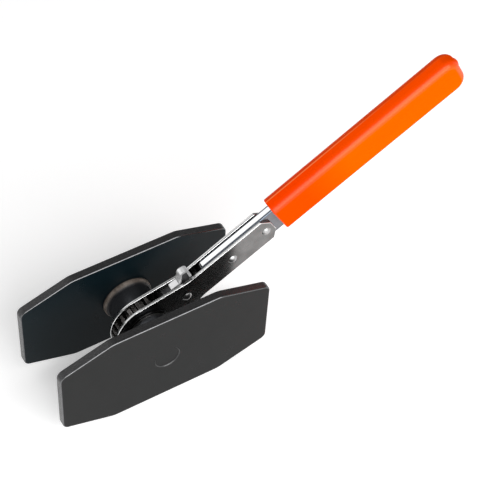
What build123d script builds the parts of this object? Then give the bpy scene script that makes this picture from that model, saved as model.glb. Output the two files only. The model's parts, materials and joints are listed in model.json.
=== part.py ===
from build123d import *
from math import acos, asin, atan2, cos, degrees, hypot, radians, sin, sqrt
import os

# Ratcheting brake-piston spreader, in millimetres.
# +X runs along the pressing plates, +Y along the screw from the front plate to the rear plate,
# and +Z is up with the tool standing on its plates' lower edges.
# The origin is the centre of the front plate's outer, pressing face.

# Pressing plates: elongated octagons
PLATE_LENGTH = 130.0
PLATE_HEIGHT = 68.2
PLATE_END_HEIGHT = 46.8
PLATE_MID_LENGTH = 66.8
PLATE_THICKNESS = 5.15
PLATE_END_RADIUS = 4.5
PLATE_MID_RADIUS = 14.0
PLATE_EDGE_RADIUS = 0.8
CLOSED_WIDTH = 53.3
MID_Y = CLOSED_WIDTH / 2
PLATE_OUTER = MID_Y
PLATE_INNER = MID_Y - PLATE_THICKNESS

# Threaded bosses on the plates' inner faces
BOSS_RADIUS = 13.5
BOSS_MOUTH = 5.8
SPIGOT_RADIUS = 10.2
SPIGOT_STEP = 25.15
STAKE_RADIUS = 7.4
STAKE_DISH = 0.5
NUT_LENGTH = 5.55
CAVITY_RADIUS = 8.7
CAVITY_END = 24.95
BOSS_BEVEL = 0.6
WELD_RADIUS = 15.0
WELD_FLAT = 1.2
WELD_HEIGHT = 4.1
WELD_BULGE = 0.3

# Double-ended screw: two-start thread, right hand at the front and left hand at the rear
LEAD = 4.0
TURNS = 3
THREAD_RADIUS = 7.0
THREAD_DEPTH = 0.8
THREAD_PITCH = LEAD / 2
THREAD_CREST = 0.3 * THREAD_PITCH
THREAD_FLANK = 0.2 * THREAD_PITCH
THREAD_START = 6.2
SHAFT_RADIUS = 8.0
SHAFT_END = 5.75
SCREW_END = 24.7
SCREW_END_BEVEL = 0.3
STOP_RING_RADIUS = 8.4
STOP_RING_WIDTH = 1.0
STOP_RING_BORE = THREAD_RADIUS - THREAD_DEPTH
STOP_RING_PLAY = 0.05
STOP_RING_START = BOSS_MOUTH + NUT_LENGTH + LEAD * TURNS + STOP_RING_PLAY
STOP_RING_GAP = 3.0
RUNNING_CLEARANCE = 0.06

# Ratchet wheel and its key
TEETH = 20
TIP_RADIUS = 18.5
ROOT_RADIUS = 15.5
TIP_WIDTH = 1.9
ROOT_GAP = 1.9
WHEEL_HALF_WIDTH = 2.5
JOURNAL_RADIUS = 10.5
KEY_WIDTH = 3.0
KEY_BOTTOM = 6.8
KEY_TOP = 9.3

# Thrust washers between the head and the bosses
WASHER_RADIUS = 13.0
WASHER_INNER = 4.5
WASHER_OUTER = 5.7
WASHER_BEVEL = 0.3

# Handle: two side plates riveted round a flat bar, rising from +X
HANDLE_ANGLE = 29.7
SIDE_INNER = 2.65
SIDE_OUTER = 4.45
HEAD_RADIUS = 20.0
NECK_HALF_WIDTH = 10.2
NECK_START = 35.0
NECK_BLEND = 18.0
TAIL_START = 86.75
TAIL_END = 91.0
TAIL_HALF_WIDTH = 4.2
TAIL_CORNER_RADIUS = 0.8
SIDE_EDGE_RADIUS = 0.4
BAR_HALF_WIDTH = 9.9
BAR_NOSE = 41.0
BAR_NOSE_RADIUS = 11.5
BAR_END = 220.0
BAR_END_RADIUS = 6.0
BAR_EDGE_RADIUS = 1.3
GRIP_START = 95.8
GRIP_END = 225.5
GRIP_START_HALF_WIDTH = 12.8
GRIP_END_HALF_WIDTH = 13.5
GRIP_RISE = 0.9
GRIP_HALF_THICKNESS = 6.2
GRIP_CORNER_RADIUS = 8.2
GRIP_EDGE_RADIUS = 4.7
GRIP_LIP_RADIUS = 0.8
GRIP_MOUTH_GAP = 0.9
GRIP_MOUTH_DEPTH = 2.5
GRIP_MOUTH_RADIUS = 1.6
GRIP_DRIP_RADIUS = 2.6
GRIP_DRIP_HEIGHT = 0.9
GRIP_DRIP_RISE = 3.4
RIVET_RADIUS = 2.0
RIVET_HEAD_RADIUS = 2.8
RIVET_HEAD_HEIGHT = 1.4
MIDDLE_RIVET = 61.5
TAIL_RIVET = 85.8

# Reversing pawl, drawn neutral: it tips PAWL_SWING either way to drop one nose in the wheel
PAWL_PIVOT = 28.5
PAWL_SWING = 12.0
PAWL_HALF_WIDTH = 2.3
PAWL_BORE = RIVET_RADIUS + 0.05
NOSE_GAP = 1.5
NOSE_REACH = 16.2
NOSE_ROOT = 20.2
NOSE_TIP_HALF = 0.65
NOSE_ROOT_HALF = 1.7
PAWL_FRONT = 19.8
PAWL_SHOULDER = 11.9
PAWL_LAND = (24.5, 31.2)
PAWL_LAND_HEIGHT = 10.8
PAWL_SADDLE_HEIGHT = 10.0
PAWL_BACK = 38.6
TAIL_RADIUS = 10.5
TAIL_HALF_ANGLE = 25
NOTCH_RADIUS = 1.7
NOTCH_DEPTH = 0.35
TAB_HALF_WIDTH = 1.95
TAB_THICKNESS = 1.5
TAB_LINE = PAWL_LAND_HEIGHT + TAB_THICKNESS / 2
TAB_HEEL = PAWL_SADDLE_HEIGHT + TAB_THICKNESS / 2
TAB_COURSE = [(25.7, TAB_LINE), (31.0, TAB_LINE), (35.2, 18.0), (39.1, 16.9), (38.18, TAB_HEEL)]
TAB_BENDS = [1.6, 1.7, 1.5]

# Detent: a sprung plunger in the bar's nose
PLUNGER_NOSE = 1.6
PLUNGER_RADIUS = 2.0
PLUNGER_SHOULDER = 42.3
PLUNGER_END = 47.3
PLUNGER_BORE = PLUNGER_RADIUS + RUNNING_CLEARANCE
PLUNGER_BORE_END = 56.0
SPRING_END = 54.6
SPRING_RADIUS = 1.45
SPRING_WIRE = 0.25
SPRING_TURNS = 6

# Local frames: x and y lie in the head's mid-plane, and z points to the front plate.
HUB = Plane(origin=(0, MID_Y, 0), x_dir=(1, 0, 0), z_dir=(0, -1, 0))
ARM = Plane(
    origin=(0, MID_Y, 0),
    x_dir=(cos(radians(HANDLE_ANGLE)), 0, sin(radians(HANDLE_ANGLE))),
    z_dir=(0, -1, 0),
)


def polar(radius, angle):
    """The point at a radius and an angle in degrees."""
    return (radius * cos(radians(angle)), radius * sin(radians(angle)))


def turned(*outline):
    """A solid turned about local z from (radius, height) corners."""
    return revolve(Plane.XZ * make_face(Polyline(*outline, close=True)), Axis.Z)


def rod(radius, low, high):
    """A cylinder on local z between two heights."""
    return Pos(0, 0, low) * extrude(Circle(radius), high - low)


def slab(sketch, low, high):
    """A flat outline given a thickness along local z."""
    return Pos(0, 0, low) * extrude(sketch, high - low)


def rear_of(part):
    """The rear twin of a front piece."""
    return mirror(part, about=Plane.XY)


def plate():
    half_length, half_height = PLATE_LENGTH / 2, PLATE_HEIGHT / 2
    half_mid, half_end = PLATE_MID_LENGTH / 2, PLATE_END_HEIGHT / 2
    ends = [(sx * half_length, sy * half_end) for sx, sy in ((1, 1), (-1, 1), (-1, -1), (1, -1))]
    mids = [(sx * half_mid, sy * half_height) for sx, sy in ((1, 1), (-1, 1), (-1, -1), (1, -1))]
    outline = make_face(
        Polyline(
            ends[0], mids[0], mids[1], ends[1], ends[2], mids[2], mids[3], ends[3], close=True
        )
    )
    end_corners = [v for v in outline.vertices() if abs(v.X) > half_mid + 1]
    outline = fillet(end_corners, PLATE_END_RADIUS)
    mid_corners = [v for v in outline.vertices() if abs(abs(v.Y) - half_height) < 0.01]
    outline = fillet(mid_corners, PLATE_MID_RADIUS)
    body = slab(outline, PLATE_INNER, PLATE_OUTER)
    rims = body.edges().filter_by(Plane.XY)
    body = fillet(rims, PLATE_EDGE_RADIUS)
    body -= rod(SPIGOT_RADIUS, PLATE_INNER, SPIGOT_STEP)
    return body - turned(
        (0, SPIGOT_STEP),
        (STAKE_RADIUS, SPIGOT_STEP),
        (STAKE_RADIUS, PLATE_OUTER - STAKE_DISH),
        (STAKE_RADIUS + STAKE_DISH, PLATE_OUTER),
        (0, PLATE_OUTER),
    )


def boss():
    """A threaded barrel whose stepped spigot is staked through its plate, just below the face."""
    nut_radius = THREAD_RADIUS + RUNNING_CLEARANCE
    nut_end = BOSS_MOUTH + NUT_LENGTH
    return turned(
        (nut_radius, BOSS_MOUTH),
        (BOSS_RADIUS - BOSS_BEVEL, BOSS_MOUTH),
        (BOSS_RADIUS, BOSS_MOUTH + BOSS_BEVEL),
        (BOSS_RADIUS, PLATE_INNER),
        (SPIGOT_RADIUS, PLATE_INNER),
        (SPIGOT_RADIUS, SPIGOT_STEP),
        (STAKE_RADIUS, SPIGOT_STEP),
        (STAKE_RADIUS, PLATE_OUTER - STAKE_DISH),
        (0, PLATE_OUTER - STAKE_DISH),
        (0, CAVITY_END),
        (CAVITY_RADIUS, CAVITY_END),
        (CAVITY_RADIUS, nut_end),
        (nut_radius, nut_end),
    )


def weld():
    """The rounded bead that joins a boss to its plate."""
    top = PLATE_INNER - WELD_FLAT
    toe = PLATE_INNER - WELD_HEIGHT
    crown = ((WELD_RADIUS + BOSS_RADIUS) / 2 + WELD_BULGE, (top + toe) / 2 - WELD_BULGE)
    outline = make_face(
        Curve()
        + [
            Polyline(
                (BOSS_RADIUS, toe),
                (BOSS_RADIUS, PLATE_INNER),
                (WELD_RADIUS, PLATE_INNER),
                (WELD_RADIUS, top),
            ),
            ThreePointArc((WELD_RADIUS, top), crown, (BOSS_RADIUS, toe)),
        ]
    )
    return revolve(Plane.XZ * outline, Axis.Z)


def thrust_washer():
    return turned(
        (SHAFT_RADIUS + RUNNING_CLEARANCE, WASHER_INNER),
        (WASHER_RADIUS - WASHER_BEVEL, WASHER_INNER),
        (WASHER_RADIUS, WASHER_INNER + WASHER_BEVEL),
        (WASHER_RADIUS, WASHER_OUTER - WASHER_BEVEL),
        (WASHER_RADIUS - WASHER_BEVEL, WASHER_OUTER),
        (SHAFT_RADIUS + RUNNING_CLEARANCE, WASHER_OUTER),
    )


def thread_profile():
    """Half of the screw's outline from its shaft to its end, with each thread turn as a ring."""
    root = THREAD_RADIUS - THREAD_DEPTH
    outline = [(SHAFT_RADIUS, 0), (SHAFT_RADIUS, SHAFT_END), (root, SHAFT_END)]
    start = THREAD_START
    while start + THREAD_CREST + 2 * THREAD_FLANK < STOP_RING_START:
        outline += [
            (root, start),
            (THREAD_RADIUS, start + THREAD_FLANK),
            (THREAD_RADIUS, start + THREAD_FLANK + THREAD_CREST),
            (root, start + 2 * THREAD_FLANK + THREAD_CREST),
        ]
        start += THREAD_PITCH
    ring_end = STOP_RING_START + STOP_RING_WIDTH
    rim = THREAD_RADIUS - SCREW_END_BEVEL
    return outline + [(root, ring_end), (rim, ring_end), (root, SCREW_END), (0, SCREW_END)]


def key():
    height = KEY_TOP - KEY_BOTTOM
    return Pos(0, KEY_BOTTOM + height / 2, 0) * Box(KEY_WIDTH, height, 2 * SIDE_OUTER)


def drive_screw():
    front = turned(*thread_profile(), (0, 0))
    return front + rear_of(front) - key()


def stop_ring():
    """A snap ring in the screw's end groove, which meets the nut when the tool is fully open."""
    low, high = STOP_RING_START, STOP_RING_START + STOP_RING_WIDTH
    ring = rod(STOP_RING_RADIUS, low, high) - rod(STOP_RING_BORE, low, high)
    return ring - Pos(0, -STOP_RING_RADIUS, (low + high) / 2) * Box(
        STOP_RING_GAP, STOP_RING_RADIUS, 2 * STOP_RING_WIDTH
    )


def ratchet_wheel():
    """A straight-sided toothed wheel with a journal each side, a tooth standing on local x."""
    pitch = 360 / TEETH
    tip_half = degrees(TIP_WIDTH / TIP_RADIUS / 2)
    root_half = pitch / 2 - degrees(ROOT_GAP / ROOT_RADIUS / 2)
    corners = []
    for i in range(TEETH):
        middle = i * pitch
        corners += [
            polar(ROOT_RADIUS, middle - root_half),
            polar(TIP_RADIUS, middle - tip_half),
            polar(TIP_RADIUS, middle + tip_half),
            polar(ROOT_RADIUS, middle + root_half),
        ]
    wheel = slab(make_face(Polyline(*corners, close=True)), -WHEEL_HALF_WIDTH, WHEEL_HALF_WIDTH)
    wheel += rod(JOURNAL_RADIUS, -SIDE_OUTER, SIDE_OUTER)
    return wheel - rod(SHAFT_RADIUS, -SIDE_OUTER, SIDE_OUTER) - key()


def side_plate():
    """A head disc that tapers tangentially to a parallel neck and ends in a cropped tail."""
    bearing = atan2(NECK_HALF_WIDTH, NECK_START)
    touch_angle = bearing + acos(HEAD_RADIUS / hypot(NECK_START, NECK_HALF_WIDTH))
    touch = polar(HEAD_RADIUS, degrees(touch_angle))
    lower_touch = (touch[0], -touch[1])
    outline = make_face(
        Curve()
        + [
            ThreePointArc(touch, (-HEAD_RADIUS, 0), lower_touch),
            Polyline(
                lower_touch,
                (NECK_START, -NECK_HALF_WIDTH),
                (TAIL_START, -NECK_HALF_WIDTH),
                (TAIL_END, -TAIL_HALF_WIDTH),
                (TAIL_END, TAIL_HALF_WIDTH),
                (TAIL_START, NECK_HALF_WIDTH),
                (NECK_START, NECK_HALF_WIDTH),
                touch,
            ),
        ]
    )
    neck = [v for v in outline.vertices() if abs(v.X - NECK_START) < 0.01]
    outline = fillet(neck, NECK_BLEND)
    tail = [v for v in outline.vertices() if v.X > TAIL_START - 1]
    outline = fillet(tail, TAIL_CORNER_RADIUS)
    body = slab(outline, SIDE_INNER, SIDE_OUTER)
    body = fillet(body.edges().filter_by(Plane.XY), SIDE_EDGE_RADIUS)
    body -= rod(JOURNAL_RADIUS + RUNNING_CLEARANCE, SIDE_INNER, SIDE_OUTER)
    for u in (PAWL_PIVOT, MIDDLE_RIVET, TAIL_RIVET):
        body -= Pos(u, 0, 0) * rod(RIVET_RADIUS, SIDE_INNER, SIDE_OUTER)
    return body


def bar_blank():
    """The handle bar before drilling: a flat bar with a bowed nose."""
    centre = BAR_NOSE + BAR_NOSE_RADIUS
    corner = centre - sqrt(BAR_NOSE_RADIUS**2 - BAR_HALF_WIDTH**2)
    outline = make_face(
        Curve()
        + [
            ThreePointArc((corner, BAR_HALF_WIDTH), (BAR_NOSE, 0), (corner, -BAR_HALF_WIDTH)),
            Polyline(
                (corner, -BAR_HALF_WIDTH),
                (BAR_END, -BAR_HALF_WIDTH),
                (BAR_END, BAR_HALF_WIDTH),
                (corner, BAR_HALF_WIDTH),
            ),
        ]
    )
    outline = fillet([v for v in outline.vertices() if v.X > BAR_END - 1], BAR_END_RADIUS)
    body = slab(outline, -SIDE_INNER, SIDE_INNER)
    return fillet(body.edges().filter_by(Plane.XY), BAR_EDGE_RADIUS)


def handle_bar():
    body = bar_blank()
    for u in (MIDDLE_RIVET, TAIL_RIVET):
        body -= Pos(u, 0, 0) * rod(RIVET_RADIUS, -SIDE_INNER, SIDE_INNER)
    return body - along_arm(rod(PLUNGER_BORE, BAR_NOSE - 1, PLUNGER_BORE_END))


def along_arm(part):
    """Turns a part built on local z so that it lies on local x."""
    return Rot(0, 90, 0) * part


def grip():
    """A dipped sleeve with a rounded far end, where the dip left a low drip, and a recessed mouth."""
    outline = make_face(
        Polyline(
            (GRIP_START, GRIP_RISE - GRIP_START_HALF_WIDTH),
            (GRIP_END, GRIP_RISE - GRIP_END_HALF_WIDTH),
            (GRIP_END, GRIP_RISE + GRIP_END_HALF_WIDTH),
            (GRIP_START, GRIP_RISE + GRIP_START_HALF_WIDTH),
            close=True,
        )
    )
    outline = fillet([v for v in outline.vertices() if v.X > GRIP_END - 1], GRIP_CORNER_RADIUS)
    body = slab(outline, -GRIP_HALF_THICKNESS, GRIP_HALF_THICKNESS)
    long_edges = [e for e in body.edges().filter_by(Plane.XY) if e.center().X > GRIP_START + 1]
    body = fillet(long_edges, GRIP_EDGE_RADIUS)
    lip = body.faces().sort_by(Axis.X)[0].outer_wire().edges()
    body = fillet(lip, GRIP_LIP_RADIUS) + grip_drip()
    half_width = BAR_HALF_WIDTH + GRIP_MOUTH_GAP
    half_thickness = SIDE_INNER + GRIP_MOUTH_GAP
    mouth = Pos(GRIP_START + GRIP_MOUTH_DEPTH / 2, 0, 0) * Box(
        GRIP_MOUTH_DEPTH, 2 * half_width, 2 * half_thickness
    )
    mouth = fillet(mouth.edges().filter_by(Axis.X), GRIP_MOUTH_RADIUS)
    return body - mouth - bar_blank()


def grip_drip():
    """A low dome on the grip's end face."""
    ball = (GRIP_DRIP_RADIUS**2 + GRIP_DRIP_HEIGHT**2) / (2 * GRIP_DRIP_HEIGHT)
    return Pos(GRIP_END + GRIP_DRIP_HEIGHT - ball, GRIP_RISE + GRIP_DRIP_RISE, 0) * Sphere(ball)


def rivet():
    """A shank with a spherical cap each side."""
    top = SIDE_OUTER + RIVET_HEAD_HEIGHT
    cap = (RIVET_HEAD_RADIUS**2 + RIVET_HEAD_HEIGHT**2) / (2 * RIVET_HEAD_HEIGHT)
    half_way = degrees(asin(RIVET_HEAD_RADIUS / cap)) / 2
    x, y = polar(cap, 90 - half_way)
    y += top - cap
    outline = make_face(
        Curve()
        + [
            ThreePointArc((RIVET_HEAD_RADIUS, SIDE_OUTER), (x, y), (0, top)),
            Line((0, top), (0, -top)),
            ThreePointArc((0, -top), (x, -y), (RIVET_HEAD_RADIUS, -SIDE_OUTER)),
            Polyline(
                (RIVET_HEAD_RADIUS, -SIDE_OUTER),
                (RIVET_RADIUS, -SIDE_OUTER),
                (RIVET_RADIUS, SIDE_OUTER),
                (RIVET_HEAD_RADIUS, SIDE_OUTER),
            ),
        ]
    )
    return revolve(Plane.XZ * outline, Axis.Z)


def pawl_nose():
    """The upper nose, drawn seated in its tooth gap and swung back to neutral."""
    angle = NOSE_GAP * 360 / TEETH
    seated = Rot(0, 0, angle) * make_face(
        Polyline(
            (NOSE_REACH, -NOSE_TIP_HALF),
            (NOSE_ROOT, -NOSE_ROOT_HALF),
            (NOSE_ROOT, NOSE_ROOT_HALF),
            (NOSE_REACH, NOSE_TIP_HALF),
            close=True,
        )
    )
    return Pos(PAWL_PIVOT, 0) * Rot(0, 0, -PAWL_SWING) * Pos(-PAWL_PIVOT, 0) * seated


def pawl():
    """A two-nosed pawl with three detent notches in its rounded tail."""
    tail = [polar(TAIL_RADIUS, a) for a in (-TAIL_HALF_ANGLE, 0, TAIL_HALF_ANGLE)]
    tail = [(PAWL_PIVOT + x, y) for x, y in tail]
    land_start, land_end = PAWL_LAND
    body = make_face(
        Curve()
        + [
            ThreePointArc(*tail),
            Polyline(
                tail[2],
                (PAWL_BACK, PAWL_SADDLE_HEIGHT),
                (land_end + PAWL_LAND_HEIGHT - PAWL_SADDLE_HEIGHT, PAWL_SADDLE_HEIGHT),
                (land_end, PAWL_LAND_HEIGHT),
                (land_start, PAWL_LAND_HEIGHT),
                (PAWL_FRONT, PAWL_SHOULDER),
                (PAWL_FRONT, -PAWL_SHOULDER),
                (land_start, -PAWL_LAND_HEIGHT),
                (land_end, -PAWL_LAND_HEIGHT),
                tail[0],
            ),
        ]
    )
    nose = pawl_nose()
    body += [nose, mirror(nose, about=Plane.XZ)]
    notch_centre = TAIL_RADIUS + NOTCH_RADIUS - NOTCH_DEPTH
    for angle in (-PAWL_SWING, 0, PAWL_SWING):
        x, y = polar(notch_centre, angle)
        body -= Pos(PAWL_PIVOT + x, y) * Circle(NOTCH_RADIUS)
    body -= Pos(PAWL_PIVOT, 0) * Circle(PAWL_BORE)
    return slab(body, -PAWL_HALF_WIDTH, PAWL_HALF_WIDTH)


def thumb_tab():
    """A bent strip: a flat foot on the pawl, then an arch that stands above the head."""
    course = FilletPolyline(*TAB_COURSE, radius=TAB_BENDS)
    strip = make_face(offset(course, TAB_THICKNESS / 2, side=Side.BOTH))
    return slab(strip, -TAB_HALF_WIDTH, TAB_HALF_WIDTH)


def detent_plunger():
    """A round-nosed pin on local x, drawn level with the crests between the pawl's notches."""
    nose_centre = PAWL_PIVOT + TAIL_RADIUS + NOTCH_RADIUS
    tip = ThreePointArc(
        (PLUNGER_NOSE, nose_centre),
        (PLUNGER_NOSE * sin(radians(45)), nose_centre - PLUNGER_NOSE * sin(radians(45))),
        (0, nose_centre - PLUNGER_NOSE),
    )
    body = Polyline(
        (0, nose_centre - PLUNGER_NOSE),
        (0, PLUNGER_END),
        (PLUNGER_RADIUS, PLUNGER_END),
        (PLUNGER_RADIUS, PLUNGER_SHOULDER),
        (PLUNGER_NOSE, PLUNGER_SHOULDER),
        (PLUNGER_NOSE, nose_centre),
    )
    return along_arm(revolve(Plane.XZ * make_face(Curve() + [tip, body]), Axis.Z))


def detent_spring():
    """A coil spring behind the plunger, from its first turn to its last."""
    length = SPRING_END - PLUNGER_END - 2 * SPRING_WIRE
    path = Pos(0, 0, PLUNGER_END + SPRING_WIRE) * Helix(
        pitch=length / SPRING_TURNS, height=length, radius=SPRING_RADIUS
    )
    wire = Plane(origin=path @ 0, z_dir=path % 0) * Circle(SPRING_WIRE)
    return along_arm(sweep(wire, path=path))


def main():
    on_hub = {
        "front_plate": plate(),
        "front_boss": boss(),
        "front_weld": weld(),
        "front_thrust_washer": thrust_washer(),
    }
    on_arm = {
        "drive_screw": drive_screw(),
        "wheel_key": key(),
        "ratchet_wheel": ratchet_wheel(),
        "front_stop_ring": stop_ring(),
        "front_side_plate": side_plate(),
        "handle_bar": handle_bar(),
        "grip": grip(),
        "pawl_rivet": Pos(PAWL_PIVOT, 0, 0) * rivet(),
        "middle_rivet": Pos(MIDDLE_RIVET, 0, 0) * rivet(),
        "tail_rivet": Pos(TAIL_RIVET, 0, 0) * rivet(),
        "pawl": pawl(),
        "thumb_tab": thumb_tab(),
        "detent_plunger": detent_plunger(),
        "detent_spring": detent_spring(),
    }
    os.makedirs("parts", exist_ok=True)
    for frame, pieces in ((HUB, on_hub), (ARM, on_arm)):
        for name, piece in pieces.items():
            export_step(frame.location * piece, f"parts/{name}.step")
            if name.startswith("front_"):
                twin = name.replace("front_", "rear_")
                export_step(frame.location * rear_of(piece), f"parts/{twin}.step")


main()
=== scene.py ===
import bmesh
import bpy
import json
import math
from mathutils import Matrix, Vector


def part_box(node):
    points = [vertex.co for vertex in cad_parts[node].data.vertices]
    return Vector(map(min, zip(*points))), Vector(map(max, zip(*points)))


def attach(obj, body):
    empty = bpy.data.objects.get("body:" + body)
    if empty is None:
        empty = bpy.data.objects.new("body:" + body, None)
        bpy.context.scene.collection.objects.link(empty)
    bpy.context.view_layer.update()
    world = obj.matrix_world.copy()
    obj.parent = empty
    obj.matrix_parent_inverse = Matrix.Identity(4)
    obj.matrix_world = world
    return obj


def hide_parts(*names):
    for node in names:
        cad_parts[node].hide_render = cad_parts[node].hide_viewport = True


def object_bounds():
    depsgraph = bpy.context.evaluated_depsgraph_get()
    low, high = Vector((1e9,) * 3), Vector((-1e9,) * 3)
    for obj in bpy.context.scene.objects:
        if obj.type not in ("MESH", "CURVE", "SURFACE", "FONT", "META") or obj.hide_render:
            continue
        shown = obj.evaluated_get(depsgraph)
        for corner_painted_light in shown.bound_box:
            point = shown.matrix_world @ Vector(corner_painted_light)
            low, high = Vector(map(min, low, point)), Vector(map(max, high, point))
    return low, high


# Looks for a ratcheting brake piston spreader. Units are metres, in the CAD frame: +X along the
# plates, +Y along the screw, +Z up. The arm rises from +X at ARM_ANGLE, and the grain of its
# metal and vinyl runs along it.

MM = 0.001
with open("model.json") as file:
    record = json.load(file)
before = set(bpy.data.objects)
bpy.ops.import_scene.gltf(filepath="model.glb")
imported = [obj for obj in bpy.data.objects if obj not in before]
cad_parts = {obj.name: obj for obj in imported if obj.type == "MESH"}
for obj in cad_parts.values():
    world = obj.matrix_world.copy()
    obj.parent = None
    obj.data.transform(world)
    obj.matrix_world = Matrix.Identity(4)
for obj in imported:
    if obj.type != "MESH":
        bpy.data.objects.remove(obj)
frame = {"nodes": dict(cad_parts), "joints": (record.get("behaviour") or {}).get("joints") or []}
cad_low, cad_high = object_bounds()

joints = {j["name"]: j for j in frame["joints"]}
HUB = Vector(joints["screw_turn"]["pos_m"])
ARM_ANGLE = math.atan2(joints["detent_press"]["axis"][2], joints["detent_press"]["axis"][0])
LEAD = joints["head_travel"]["range_m"][1] / (joints["screw_turn"]["range_deg"][1] / 360)
GRIP_MOUTH = 95.8 * MM


# ---------------------------------------------------------------- shader helpers

def add(tree, kind, inputs=None, **settings):
    """A shader node with its settings. An input given as a socket is linked, and any other is set."""
    node = tree.nodes.new("ShaderNode" + kind)
    for name, value in settings.items():
        setattr(node, name, value)
    for key, value in (inputs or {}).items():
        if isinstance(value, bpy.types.NodeSocket):
            tree.links.new(value, node.inputs[key])
        else:
            node.inputs[key].default_value = value
    return node


def new_material(name, **values):
    """A material with one Principled shader, its uniform values set on the shader's sockets."""
    material = bpy.data.materials.new(name)
    material.use_nodes = True
    shader = material.node_tree.nodes["Principled BSDF"]
    for key, value in values.items():
        shader.inputs[key.replace("_", " ")].default_value = value
    return material, material.node_tree, shader


def noise(tree, scale, detail):
    """Noise in the piece's own coordinates. Scale is in cells a metre."""
    coordinates = add(tree, "TexCoord").outputs["Object"]
    inputs = {"Vector": coordinates, "Scale": scale, "Detail": detail, "Roughness": 0.55}
    return add(tree, "TexNoise", inputs).outputs["Fac"]


def arm_coordinates(tree):
    """The piece's coordinates, turned so that the first axis runs along the handle."""
    inputs = {"Vector": add(tree, "TexCoord").outputs["Object"], "Angle": ARM_ANGLE}
    return add(tree, "VectorRotate", inputs, rotation_type="Y_AXIS").outputs["Vector"]


def along_arm(tree):
    """Distance from the screw's axis towards the grip, in metres."""
    return add(tree, "SeparateXYZ", {"Vector": arm_coordinates(tree)}).outputs["X"]


def arm_noise(tree, scale, detail, stretch=1):
    """Noise whose cells are drawn out along the handle, stretch times as long as they are wide."""
    mapping = {"Vector": arm_coordinates(tree), "Scale": (1 / stretch, 1, 1)}
    mapped = add(tree, "Mapping", mapping).outputs["Vector"]
    inputs = {"Vector": mapped, "Scale": scale, "Detail": detail}
    return add(tree, "TexNoise", inputs).outputs["Fac"]


def spread(tree, value, low, high, start=0.3, end=0.7):
    """A value mapped from start..end to low..high."""
    inputs = {"Value": value, "From Min": start, "From Max": end, "To Min": low, "To Max": high}
    return add(tree, "MapRange", inputs).outputs["Result"]


def mix_colours(tree, share, first, second):
    """The first colour at share 0 and the second at share 1."""
    mixed = add(tree, "Mix", {"Factor": share}, data_type="RGBA")
    for socket, colour in ((mixed.inputs[6], first), (mixed.inputs[7], second)):
        if isinstance(colour, bpy.types.NodeSocket):
            tree.links.new(colour, socket)
        else:
            socket.default_value = (*colour, 1)
    return mixed.outputs[2]


def times(tree, first, second):
    """The product of two values."""
    return add(tree, "Math", {0: first, 1: second}, operation="MULTIPLY").outputs["Value"]


def between(tree, value, rise, fall):
    """1 between two edges and 0 outside them. Each edge is a (start, end) that it fades over."""
    return times(tree, spread(tree, value, 0, 1, *rise), spread(tree, value, 1, 0, *fall))


def lean(tree):
    """The normal's part along the screw: 1 facing the rear, -1 facing the front."""
    normal = add(tree, "NewGeometry").outputs["Normal"]
    return add(tree, "SeparateXYZ", {"Vector": normal}).outputs["Y"]


def flatness(tree):
    """1 on faces square to the screw, falling to 0 on rims."""
    return add(tree, "Math", {0: lean(tree)}, operation="ABSOLUTE").outputs["Value"]


def off_axis(tree):
    """Distance from the screw's axis, in metres."""
    here = add(tree, "TexCoord").outputs["Object"]
    radial = add(tree, "VectorMath", {0: here, 1: (1, 0, 1)}, operation="MULTIPLY")
    inputs = {0: radial.outputs["Vector"]}
    return add(tree, "VectorMath", inputs, operation="LENGTH").outputs["Value"]


def off_middle(tree):
    """Distance from the head's mid-plane, in metres."""
    place = add(tree, "SeparateXYZ", {"Vector": add(tree, "TexCoord").outputs["Object"]})
    offset = add(tree, "Math", {0: place.outputs["Y"], 1: HUB.y}, operation="SUBTRACT")
    return add(tree, "Math", {0: offset.outputs["Value"]}, operation="ABSOLUTE").outputs["Value"]


def worn_edges(tree, radius):
    """1 along edges sharper than the radius, broken up by noise, and 0 on open faces."""
    rounded = add(tree, "Bevel", {"Radius": radius}, samples=4).outputs["Normal"]
    straight = add(tree, "NewGeometry").outputs["Normal"]
    facing = add(tree, "VectorMath", {0: rounded, 1: straight}, operation="DOT_PRODUCT")
    edge = spread(tree, facing.outputs["Value"], 1, 0, 0.86, 0.99)
    broken = spread(tree, noise(tree, 900, 4), 0, 1, 0.42, 0.6)
    return times(tree, edge, broken)


def bump(tree, shader, *layers):
    """Bump from (height socket, strength, distance in mm) layers, chained in order."""
    normal = None
    for height, strength, distance in layers:
        inputs = {"Height": height, "Strength": strength, "Distance": distance * MM}
        if normal is not None:
            inputs["Normal"] = normal
        normal = add(tree, "Bump", inputs).outputs["Normal"]
    tree.links.new(normal, shader.inputs["Normal"])


# ---------------------------------------------------------------- materials

COAT_SHINE = 0.105
RIM_METAL = 0.8
RUBBED_STEEL = (0.16, 0.16, 0.165)
RUBBED_FROM = (18 * MM, 20 * MM)
# Near-black at both ends of the bead: the coat where it meets the plate, and painted shade where it
# meets the boss.
WELD_PAINT_AND_SHADE = (0.012, 0.012, 0.013)
WELD_SOOT = (0.03, 0.028, 0.026)
WELD_STRAW = (0.2, 0.16, 0.13), (0.34, 0.29, 0.25)
WELD_CROWN = (17.9 * MM, 19.4 * MM), (20.4 * MM, 21.1 * MM)
BAND_BLUR = 0.15 * MM
PLATED_RIM_ROUGHNESS = 0.17
DARK_FLECK = (0.1, 0.1, 0.1)
GREY_FLECK = (0.3, 0.3, 0.3)
BRIGHT_EDGE = (0.8, 0.79, 0.78)
VINYL_BROAD = (0.98, 0.092, 0.0), (1.0, 0.108, 0.0)
# VINYL_SIDE_SHADE is a redder, darker copy for the grip's edges and narrow sides: painted shade.
VINYL_SIDE_SHADE = (0.86, 0.056, 0.0), (0.9, 0.07, 0.0)
VINYL_THIN = (0.93, 0.05, 0.0)
# VINYL_HIGHLIGHT_STREAK is a painted highlight along the grip.
VINYL_HIGHLIGHT_STREAK = (1.0, 0.24, 0.08)
VINYL_DUST = (0.9, 0.13, 0.01)
FLOOR_WHITE = (0.88, 0.88, 0.88), (0.9, 0.9, 0.9)


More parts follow.
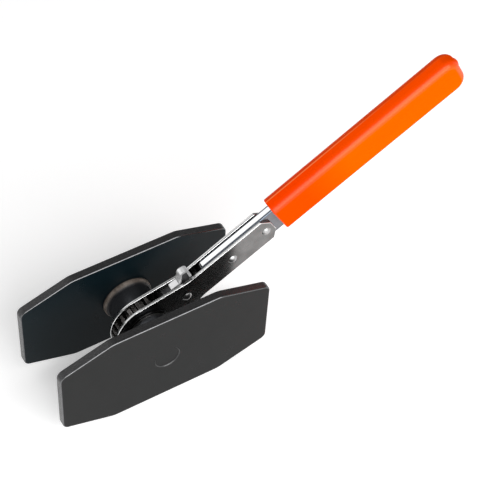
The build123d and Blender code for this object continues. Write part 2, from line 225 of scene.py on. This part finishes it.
def plate_coat(name, dark, light, rim_dark, rim_light, rim_grain):
    """Satin black coat: a fine orange peel on the faces, a sheared grain on the rims, and rounded
    edges where the coat has rubbed thin."""
    material, tree, shader = new_material(name, Specular_IOR_Level=COAT_SHINE)
    flat = flatness(tree)
    side = spread(tree, flat, 1, 0, 0.9, 0.99)
    rim = spread(tree, flat, 1, 0, 0.05, 0.3)
    cloud = spread(tree, noise(tree, 26, 4), 0, 1, 0.3, 0.7)
    speck = spread(tree, noise(tree, 2600, 2), 0, 1, 0.35, 0.65)
    smooth = mix_colours(tree, cloud, dark, light)
    smooth = mix_colours(tree, speck, smooth, [1.3 * c for c in light])
    shear = spread(tree, noise(tree, 1500, 5), 0, 1, 0.4, 0.62)
    grainy = mix_colours(tree, shear, rim_dark, rim_light)
    base = mix_colours(tree, side, smooth, grainy)
    edge = between(tree, flat, (0.12, 0.3), (0.9, 0.985))
    outer = spread(tree, off_axis(tree), 0, 1, *RUBBED_FROM)
    worn = times(tree, edge, spread(tree, noise(tree, 260, 4), 0.7, 1.0, 0.38, 0.6))
    worn = times(tree, worn, outer)
    base = mix_colours(tree, worn, base, RUBBED_STEEL)
    tree.links.new(base, shader.inputs["Base Color"])
    metal = spread(tree, worn, times(tree, side, RIM_METAL), 1, 0, 1)
    tree.links.new(metal, shader.inputs["Metallic"])
    rough = spread(tree, noise(tree, 60, 5), 0.26, 0.36)
    tree.links.new(spread(tree, worn, rough, 0.2, 0, 1), shader.inputs["Roughness"])
    peel = noise(tree, 1900, 3)
    bump(tree, shader, (peel, 0.2, 0.05), (times(tree, shear, rim), rim_grain, 0.12))
    return material


def weld_metal():
    """A bead: straw brown in a band over its crown, painted at its toe, and sooty in patches;
    near-black where it meets the boss, which is painted shade.
    """
    material, tree, shader = new_material("weld_metal", Metallic=0.4)
    tint = spread(tree, noise(tree, 160, 5), 0, 1, 0.32, 0.68)
    brown = mix_colours(tree, tint, *WELD_STRAW)
    brown_crown = between(tree, off_middle(tree), *WELD_CROWN)
    # Outside the brown crown the bead is near-black: paint at the plate, and painted shade at the
    # boss.
    base = mix_colours(tree, brown_crown, WELD_PAINT_AND_SHADE, brown)
    soot = spread(tree, noise(tree, 700, 4), 0, 0.6, 0.5, 0.75)
    base = mix_colours(tree, soot, base, WELD_SOOT)
    tree.links.new(base, shader.inputs["Base Color"])
    tree.links.new(spread(tree, noise(tree, 500, 4), 0.38, 0.58), shader.inputs["Roughness"])
    bump(tree, shader, (noise(tree, 330, 3), 0.4, 0.2), (noise(tree, 1300, 3), 0.35, 0.05))
    return material


def zinc_plate(name, face_light, face_dark, rim_light, rim_dark, corner_painted_light, highlight_band, shoulder_shade):
    """Zinc-plated strip: dull faces drawn with a fine grain along the handle, and rims with a painted
    highlight in a band and painted shade on its shoulders. The rounded corners take a painted light
    of their own, a highlight or a shade as given. The highlight band is a range of distances from the
    mid-plane, in millimetres, and takes in the middle if it starts below 0."""
    material, tree, shader = new_material(name, Metallic=1.0)
    square = flatness(tree)
    face = spread(tree, square, 0, 1, 0.9, 0.99)
    rounded = spread(tree, square, 0, 1, 0.1, 0.3)
    grain = arm_noise(tree, 1500, 3, stretch=7)
    streak = spread(tree, grain, 0, 0.15, 0.36, 0.64)
    cloud = spread(tree, arm_noise(tree, 110, 4), 0, 1, 0.3, 0.7)
    flat = mix_colours(tree, streak, face_light, face_dark)
    flat = mix_colours(tree, cloud, flat, face_dark)
    fleck = spread(tree, noise(tree, 1100, 2), 0, 0.12, 0.64, 0.78)
    flat = mix_colours(tree, fleck, flat, DARK_FLECK)
    rim = mix_colours(tree, cloud, rim_light, rim_dark)
    # Painted light on the rims: a highlight in the band, shade on its shoulders, and the corner
    # colour on the rounded corners.
    rise, fall = ((edge * MM - BAND_BLUR, edge * MM + BAND_BLUR) for edge in highlight_band)
    rim = mix_colours(tree, between(tree, off_middle(tree), rise, fall), shoulder_shade, rim)
    rim = mix_colours(tree, rounded, rim, corner_painted_light)
    base = mix_colours(tree, face, rim, flat)
    tree.links.new(base, shader.inputs["Base Color"])
    dull = spread(tree, arm_noise(tree, 500, 4, stretch=3), 0.19, 0.25)
    rough = spread(tree, face, PLATED_RIM_ROUGHNESS, dull, 0, 1)
    tree.links.new(rough, shader.inputs["Roughness"])
    drawn = times(tree, grain, face)
    bump(tree, shader, (drawn, 0.05, 0.01), (noise(tree, 110, 2), 0.04, 0.1))
    return material


def bright_steel(name, light, dark, low, high, grain, metal=1.0):
    """Bright plated steel with smudges, pin-prick flecks and a faint grain."""
    material, tree, shader = new_material(name, Metallic=metal)
    cloud = spread(tree, noise(tree, 170, 4), 0, 1)
    base = mix_colours(tree, cloud, light, dark)
    fleck = spread(tree, noise(tree, 1700, 2), 0, 0.5, 0.66, 0.8)
    base = mix_colours(tree, fleck, base, GREY_FLECK)
    tree.links.new(base, shader.inputs["Base Color"])
    tree.links.new(spread(tree, noise(tree, 300, 5), low, high), shader.inputs["Roughness"])
    bump(tree, shader, (noise(tree, 900, 3), grain, 0.015), (noise(tree, 220, 2), 0.06, 0.1))
    return material


def tool_steel(name, light, dark, low, high, edge):
    """Hardened steel with an oil film: darker in patches, brighter along its edges, which are worn
    over a radius in millimetres."""
    material, tree, shader = new_material(name, Metallic=1.0)
    cloud = spread(tree, noise(tree, 240, 4), 0, 1)
    base = mix_colours(tree, cloud, light, dark)
    base = mix_colours(tree, worn_edges(tree, edge * MM), base, BRIGHT_EDGE)
    tree.links.new(base, shader.inputs["Base Color"])
    tree.links.new(spread(tree, noise(tree, 400, 4), low, high), shader.inputs["Roughness"])
    bump(tree, shader, (noise(tree, 1600, 3), 0.2, 0.03))
    return material


def orange_vinyl():
    """Dipped vinyl: yellower on its faces and redder on its edges and narrow sides, which is painted
    shade, redder again near the mouth, where the skin is thin, with a painted highlight streak along
    the arm, and glossy only along its rounded corners."""
    material, tree, shader = new_material(
        "orange_vinyl",
        Metallic=0.12,
        Specular_IOR_Level=0.0,
        Specular_Tint=(1.0, 0.6, 0.4, 1.0),
        Coat_Roughness=0.26,
    )
    flat = flatness(tree)
    face = spread(tree, flat, 0, 1, 0.55, 0.98)
    cloud = spread(tree, arm_noise(tree, 34, 4, stretch=3), 0, 1)
    broad = mix_colours(tree, cloud, *VINYL_BROAD)
    # The edges and narrow sides take the redder, darker copy: painted shade.
    shaded_sides = mix_colours(tree, cloud, *VINYL_SIDE_SHADE)
    base = mix_colours(tree, face, shaded_sides, broad)
    place = along_arm(tree)
    thin = spread(tree, place, 0.85, 0, GRIP_MOUTH + 20 * MM, GRIP_MOUTH + 50 * MM)
    base = mix_colours(tree, thin, base, VINYL_THIN)
    # A painted highlight: a light streak on faces tipped a little towards the rear, fading out along
    # the arm away from the mouth.
    highlight_line = between(tree, lean(tree), (0.02, 0.08), (0.14, 0.22))
    fade = spread(tree, place, 0.8, 0.1, GRIP_MOUTH + 35 * MM, GRIP_MOUTH + 90 * MM)
    base = mix_colours(tree, times(tree, highlight_line, fade), base, VINYL_HIGHLIGHT_STREAK)
    dust = spread(tree, noise(tree, 1400, 3), 0, 0.1, 0.55, 0.8)
    base = mix_colours(tree, dust, base, VINYL_DUST)
    tree.links.new(base, shader.inputs["Base Color"])
    gloss = between(tree, flat, (0.2, 0.5), (0.9, 0.98))
    tree.links.new(times(tree, gloss, 0.5), shader.inputs["Coat Weight"])
    tree.links.new(spread(tree, arm_noise(tree, 120, 5), 0.22, 0.3), shader.inputs["Roughness"])
    sag = arm_noise(tree, 60, 3, stretch=4)
    bump(tree, shader, (sag, 0.12, 0.3), (noise(tree, 1500, 3), 0.08, 0.04))
    return material


def floor_paint():
    """A pale matt floor with a barely visible mottle, lit a little from below."""
    material, tree, shader = new_material(
        "floor_paint", Roughness=0.9, Emission_Color=(1.0, 1.0, 1.0, 1.0), Emission_Strength=0.38
    )
    cloud = spread(tree, noise(tree, 3, 3), 0, 1)
    base = mix_colours(tree, cloud, *FLOOR_WHITE)
    tree.links.new(base, shader.inputs["Base Color"])
    return material


def dress(material, *nodes):
    """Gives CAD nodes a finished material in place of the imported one."""
    for name in nodes:
        for slot in frame["nodes"][name].material_slots:
            slot.material = material


# ---------------------------------------------------------------- the screw's true threads

THREAD_CREST = 7.0 * MM
THREAD_ROOT = 6.2 * MM
SHAFT_RADIUS = 8.0 * MM
SHAFT_END = 5.75 * MM
THREAD_START = 6.2 * MM
THREAD_END = 23.3 * MM
THREAD_FADE = THREAD_CREST / 6
CREST_SHARE = 0.3
FLANK_SHARE = 0.2
SCREW_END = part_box("drive_screw")[1].y - HUB.y
SCREW_BEVEL = 0.3 * MM
STARTS = 2
SEGMENTS = 96
STEP = 0.1 * MM
SHOULDER_STEP = 0.001 * MM
SHARP_ANGLE = math.radians(35)


def thread_radius(along, turn, hand):
    """The screw's radius at a distance from the mid-plane and a share of a turn."""
    if along <= SHAFT_END:
        return SHAFT_RADIUS
    if along < THREAD_START or along > THREAD_END:
        return THREAD_ROOT
    phase = (along * STARTS / LEAD - hand * turn * STARTS) % 1.0
    off_crest = abs(phase - 0.5) - CREST_SHARE / 2
    rise = min(max(1 - off_crest / FLANK_SHARE, 0), 1)
    fade = min((along - THREAD_START) / THREAD_FADE, (THREAD_END - along) / THREAD_FADE, 1)
    return THREAD_ROOT + (THREAD_CREST - THREAD_ROOT) * rise * max(fade, 0)


def helical_screw():
    """The double-ended screw with a two-start thread of each hand."""
    mesh = bmesh.new()
    half = [0.0, SHAFT_END, SHAFT_END + SHOULDER_STEP]
    count = int((THREAD_END - THREAD_START) / STEP)
    half += [THREAD_START + i * STEP for i in range(count + 1)]
    half += [SCREW_END - SCREW_BEVEL, SCREW_END]
    stations = [(-1, a) for a in reversed(half)] + [(1, a) for a in half[1:]]
    rings = []
    for side, along in stations:
        ring = []
        for k in range(SEGMENTS):
            turn = k / SEGMENTS
            radius = thread_radius(along, turn, side)
            if along >= SCREW_END:
                radius = THREAD_ROOT - SCREW_BEVEL
            angle = turn * 2 * math.pi
            place = Vector((radius * math.cos(angle), side * along, -radius * math.sin(angle)))
            ring.append(mesh.verts.new(HUB + place))
        rings.append(ring)
    for a, b in zip(rings, rings[1:]):
        for k in range(SEGMENTS):
            n = (k + 1) % SEGMENTS
            mesh.faces.new((a[k], a[n], b[n], b[k]))
    mesh.faces.new(rings[0])
    mesh.faces.new(list(reversed(rings[-1])))
    bmesh.ops.recalc_face_normals(mesh, faces=mesh.faces)
    return finish_mesh(mesh, "screw_threads")


def finish_mesh(mesh, name):
    """An object from a bmesh, shaded smooth up to the sharp angle."""
    data = bpy.data.meshes.new(name)
    mesh.to_mesh(data)
    mesh.free()
    data.shade_smooth()
    data.set_sharp_from_angle(angle=SHARP_ANGLE)
    piece = bpy.data.objects.new(name, data)
    bpy.context.scene.collection.objects.link(piece)
    return piece


# ---------------------------------------------------------------- stage, light and camera

FLOOR_SIZE = 6
LAMP_OFFSET = Vector((0.05, -0.9, 0.62))
LAMP_SIZE = (1.2, 1.0)
LAMP_POWER = 14
WALL_LIGHT = 0.75
WINDOW_LIGHT = 1.2
CEILING_LIGHT = 0.22
CAMERA_PLACE = (-0.25304, -0.43668, 0.72911)
CAMERA_TURN = (38.927, -2.701, -30.732)
CAMERA_LENS = 119.9


def front_softbox(aim):
    """A wide white softbox in front of the tool and above it."""
    light = bpy.data.lights.new("front", "AREA")
    light.shape = "RECTANGLE"
    light.size, light.size_y = LAMP_SIZE
    light.energy = LAMP_POWER
    lamp = bpy.data.objects.new("front", light)
    lamp.location = aim + LAMP_OFFSET
    lamp.rotation_euler = (-LAMP_OFFSET).to_track_quat("-Z", "Y").to_euler()
    bpy.context.scene.collection.objects.link(lamp)


def studio_walls():
    """White walls at the front and sides and a window high at the back left, under a dim ceiling."""
    world = bpy.data.worlds.new("studio")
    world.use_nodes = True
    tree = world.node_tree
    heading = add(tree, "SeparateXYZ", {"Vector": add(tree, "TexCoord").outputs["Generated"]})
    x, y, z = (heading.outputs[k] for k in "XYZ")
    wall = times(tree, spread(tree, z, 1, 0, 0.25, 0.5), spread(tree, y, 1, 0, 0.2, 0.45))
    opening = between(tree, y, (0.1, 0.35), (0.62, 0.75))
    window = times(tree, opening, spread(tree, x, 1, 0, -0.25, 0.0))
    parts = {0: times(tree, wall, WALL_LIGHT), 1: times(tree, window, WINDOW_LIGHT)}
    lit = add(tree, "Math", parts, operation="MAXIMUM").outputs["Value"]
    strength = add(tree, "Math", {0: lit, 1: CEILING_LIGHT}, operation="ADD").outputs["Value"]
    background = tree.nodes["Background"]
    background.inputs["Color"].default_value = (1, 1, 1, 1)
    tree.links.new(strength, background.inputs["Strength"])
    return world


def build_stage():
    """The floor under the tool, the walls and the lamp."""
    bpy.ops.mesh.primitive_plane_add(size=FLOOR_SIZE, location=(0, 0, cad_low.z))
    floor = bpy.context.object
    floor.name = "floor"
    floor.data.materials.append(floor_paint())
    bpy.context.scene.world = studio_walls()
    front_softbox((cad_low + cad_high) / 2)


def build_camera():
    """The photograph's view: a long lens from the front left, well above the tool."""
    camera = bpy.data.cameras.new("camera")
    camera.sensor_width = 36
    camera.lens = CAMERA_LENS
    camera.clip_start = 0.05
    camera.clip_end = 20
    holder = bpy.data.objects.new("camera", camera)
    holder.location = CAMERA_PLACE
    holder.rotation_euler = [math.radians(a) for a in CAMERA_TURN]
    bpy.context.scene.collection.objects.link(holder)
    bpy.context.scene.camera = holder


# ---------------------------------------------------------------- the tool

NEUTRAL = (0.0045, 0.0048, 0.0048), (0.0068, 0.007, 0.007)
# BLUE_SHEEN_COAT is a bluish copy of the black coat for the rear plate and rear boss: a painted blue
# sheen, where the front copy is neutral.
BLUE_SHEEN_COAT = (0.0016, 0.0056, 0.008), (0.0028, 0.0074, 0.0098)
PLATE_RIM = (0.055, 0.055, 0.056), (0.082, 0.082, 0.084)
# The bosses' barrels take a lighter, bluish tone: a painted sheen.
BOSS_BARREL_SHEEN = (0.08, 0.083, 0.09), (0.095, 0.1, 0.11)
dress(plate_coat("front_plate_coat", *NEUTRAL, *PLATE_RIM, 0.5), "front_plate")
dress(plate_coat("rear_plate_coat", *BLUE_SHEEN_COAT, *PLATE_RIM, 0.5), "rear_plate")
dress(plate_coat("front_boss_coat", *NEUTRAL, *BOSS_BARREL_SHEEN, 0.05), "front_boss")
dress(plate_coat("rear_boss_coat", *BLUE_SHEEN_COAT, *BOSS_BARREL_SHEEN, 0.05), "rear_boss")
dress(weld_metal(), "front_weld", "rear_weld")
dress(
    zinc_plate(
        "side_zinc",
        face_light=(0.24, 0.24, 0.237),
        face_dark=(0.155, 0.155, 0.153),
        rim_light=(0.62, 0.62, 0.62),
        rim_dark=(0.48, 0.48, 0.48),
        # The white corners and the band are painted highlights, and the shoulders painted shade.
        corner_painted_light=(0.9, 0.9, 0.9),
        highlight_band=(3.5, 5.0),
        shoulder_shade=(0.28, 0.28, 0.28),
    ),
    "front_side_plate",
    "rear_side_plate",
)
dress(
    zinc_plate(
        "bar_zinc",
        face_light=(0.22, 0.225, 0.24),
        face_dark=(0.15, 0.155, 0.17),
        rim_light=(0.85, 0.85, 0.86),
        rim_dark=(0.72, 0.72, 0.73),
        # The dark blue corners and the shoulders are painted shade, and the band a painted highlight
        # along the crown.
        corner_painted_light=(0.12, 0.14, 0.17),
        highlight_band=(-1.0, 1.25),
        shoulder_shade=(0.38, 0.39, 0.41),
    ),
    "handle_bar",
)
dress(
    bright_steel("rivet_steel", (0.5, 0.5, 0.5), (0.36, 0.36, 0.36), 0.3, 0.42, 0.2),
    "pawl_rivet",
    "middle_rivet",
    "tail_rivet",
)
dress(
    bright_steel("tab_steel", (0.82, 0.82, 0.83), (0.7, 0.7, 0.71), 0.3, 0.42, 0.1, metal=0.6),
    "thumb_tab",
)
dress(
    tool_steel("pawl_steel", (0.07, 0.07, 0.072), (0.035, 0.035, 0.037), 0.3, 0.45, 0.2),
    "pawl",
)
dress(
    tool_steel("wheel_steel", (0.14, 0.13, 0.125), (0.05, 0.047, 0.045), 0.28, 0.42, 0.35),
    "ratchet_wheel",
)
dress(
    tool_steel("washer_steel", (0.2, 0.2, 0.2), (0.12, 0.12, 0.12), 0.26, 0.4, 0.2),
    "front_thrust_washer",
    "rear_thrust_washer",
)
dress(
    tool_steel("spring_steel", (0.5, 0.5, 0.52), (0.3, 0.3, 0.32), 0.22, 0.36, 0.2),
    "front_stop_ring",
    "rear_stop_ring",
    "detent_spring",
    "wheel_key",
    "detent_plunger",
)
dress(orange_vinyl(), "grip")

screw = helical_screw()
screw.data.materials.append(
    tool_steel("screw_steel", (0.6, 0.6, 0.61), (0.42, 0.42, 0.43), 0.18, 0.34, 0.2)
)
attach(screw, "screw")
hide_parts("drive_screw")

build_stage()
build_camera()
bpy.context.scene.view_settings.view_transform = "Standard"
bpy.context.view_layer.update()
